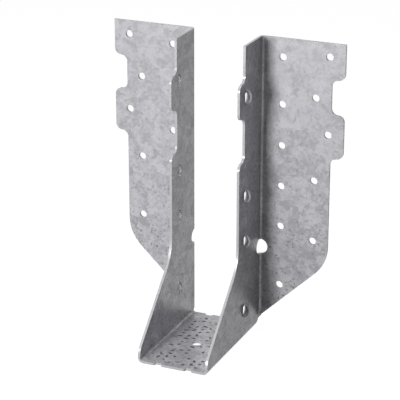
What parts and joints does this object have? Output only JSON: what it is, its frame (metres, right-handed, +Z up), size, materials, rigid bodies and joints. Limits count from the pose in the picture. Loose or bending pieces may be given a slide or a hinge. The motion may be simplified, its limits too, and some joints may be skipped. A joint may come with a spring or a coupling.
{
  "type": "joist hanger",
  "caption": "Face-mount joist hanger folded from a single galvanised steel sheet, with an open seat, side walls, nailing flanges and raised nail hoods.",
  "frame": {"origin": "middle of the hanger's box seen from above, on the underside of the seat", "axes": "+Z up along the walls; +Y back, towards the header; +X to the right, seen from the open front"},
  "size_m": [0.1466, 0.0804, 0.1825],
  "materials": {
    "galvanised_steel": "galvanised, with a soft grey spangle"
  },
  "bodies": {
    "root": {"hanger": "galvanised_steel"}
  },
  "joints": []
}
